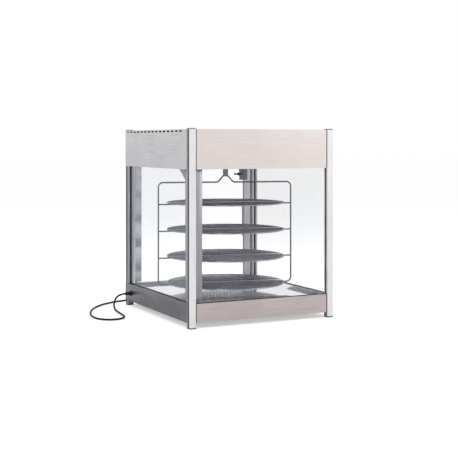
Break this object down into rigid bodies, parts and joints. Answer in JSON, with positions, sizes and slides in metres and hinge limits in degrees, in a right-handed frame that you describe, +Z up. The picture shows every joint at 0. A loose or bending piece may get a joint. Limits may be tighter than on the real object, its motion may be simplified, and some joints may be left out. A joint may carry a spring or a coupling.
{
  "type": "rotating heated display case",
  "caption": "Glass countertop display case with slotted aluminium posts, a heated header and a motor-driven wire rack of round shelves behind a hinged rear door.",
  "frame": {"origin": "on the floor, under the middle of the case and its door handle, cord left out", "axes": "+Z up, the front glass faces -Y, +X to the right seen from the front"},
  "size_m": [0.8165, 0.814, 0.704],
  "materials": {
    "extrusion": "clear anodised, satin",
    "stainless": "brushed",
    "deck_steel": "polished",
    "galvanised": "plain sheet",
    "glass": "clear",
    "black_plastic": "fine texture",
    "rubber": "matt",
    "rack_wire": "nickel plated wire",
    "hub": "satin",
    "motor": "satin",
    "bracket": "satin",
    "brass": "plain",
    "heater": "heat darkened",
    "ceramic": "glazed",
    "copper": "plain"
  },
  "bodies": {
    "case": {"bottom_plate": "galvanised", "catch_bracket": "bracket", "ceiling_bush": "brass", "ceiling_pan": "stainless", "cord_coil": "rubber", "cord_gland": "rubber", "deck_risers": "galvanised", "deck_tray": "deck_steel", "door_magnet": "rubber", "fan_housing": "black_plastic", "front_base_panel": "stainless", "front_fascia": "stainless", "front_glass": "glass", "front_left_post": "extrusion", "front_right_post": "extrusion", "gearmotor": "motor", "glass_gaskets": "rubber", "heater_element": "heater", "heater_supports": "galvanised", "hinge_pins": "galvanised", "left_base_panel": "stainless", "left_header_panel": "stainless", "left_side_glass": "glass", "motor_bridge": "galvanised", "panel_screws": "galvanised", "plug_blades": "brass", "plug_body": "rubber", "post_caps": "black_plastic", "post_feet": "black_plastic", "power_cord": "rubber", "rear_base_panel": "stainless", "rear_fascia": "stainless", "rear_left_post": "extrusion", "rear_right_post": "extrusion", "right_base_panel": "stainless", "right_header_panel": "stainless", "right_side_glass": "glass", "slot_strips": "rubber", "switch_housings": "black_plastic", "terminal_block": "ceramic", "thermostat_body": "black_plastic", "thermostat_probe": "copper", "top_cover": "stainless", "wiring_duct": "stainless"},
    "rack": {"rack_frame": "rack_wire", "shelf_1": "rack_wire", "shelf_2": "rack_wire", "shelf_3": "rack_wire", "shelf_4": "rack_wire", "rack_hub": "hub", "drive_shaft": "heater"},
    "fan_rotor": {"fan_wheel": "black_plastic"},
    "door": {"door_left_stile": "extrusion", "door_right_stile": "extrusion", "door_glass": "glass", "door_handle": "black_plastic", "strike_plate": "galvanised"},
    "thermostat_dial": {"thermostat_knob": "black_plastic"},
    "heat_button": {"heat_rocker": "black_plastic"},
    "rotation_button": {"rotation_rocker": "black_plastic"}
  },
  "joints": [
    {"name": "rack_spin", "type": "hinge", "parent": "case", "child": "rack", "pos_m": [0, -0.012, 0.3], "axis": [0, 0, 1], "continuous": true},
    {"name": "fan_spin", "type": "hinge", "parent": "case", "child": "fan_rotor", "pos_m": [0.165, -0.012, 0.578], "axis": [0, 0, 1], "continuous": true},
    {"name": "door_hinge", "type": "hinge", "parent": "case", "child": "door", "pos_m": [-0.2523, 0.2905, 0.32], "axis": [0, 0, 1], "range_deg": [0, 105]},
    {"name": "thermostat_turn", "type": "hinge", "parent": "case", "child": "thermostat_dial", "pos_m": [-0.15, 0.31, 0.628], "axis": [0, -1, 0], "range_deg": [0, 270]},
    {"name": "heat_switch", "type": "hinge", "parent": "case", "child": "heat_button", "pos_m": [-0.07, 0.29633, 0.628], "axis": [1, 0, 0], "range_deg": [-6, 6]},
    {"name": "rotation_switch", "type": "hinge", "parent": "case", "child": "rotation_button", "pos_m": [-0.02, 0.29633, 0.628], "axis": [1, 0, 0], "range_deg": [-6, 6]}
  ]
}
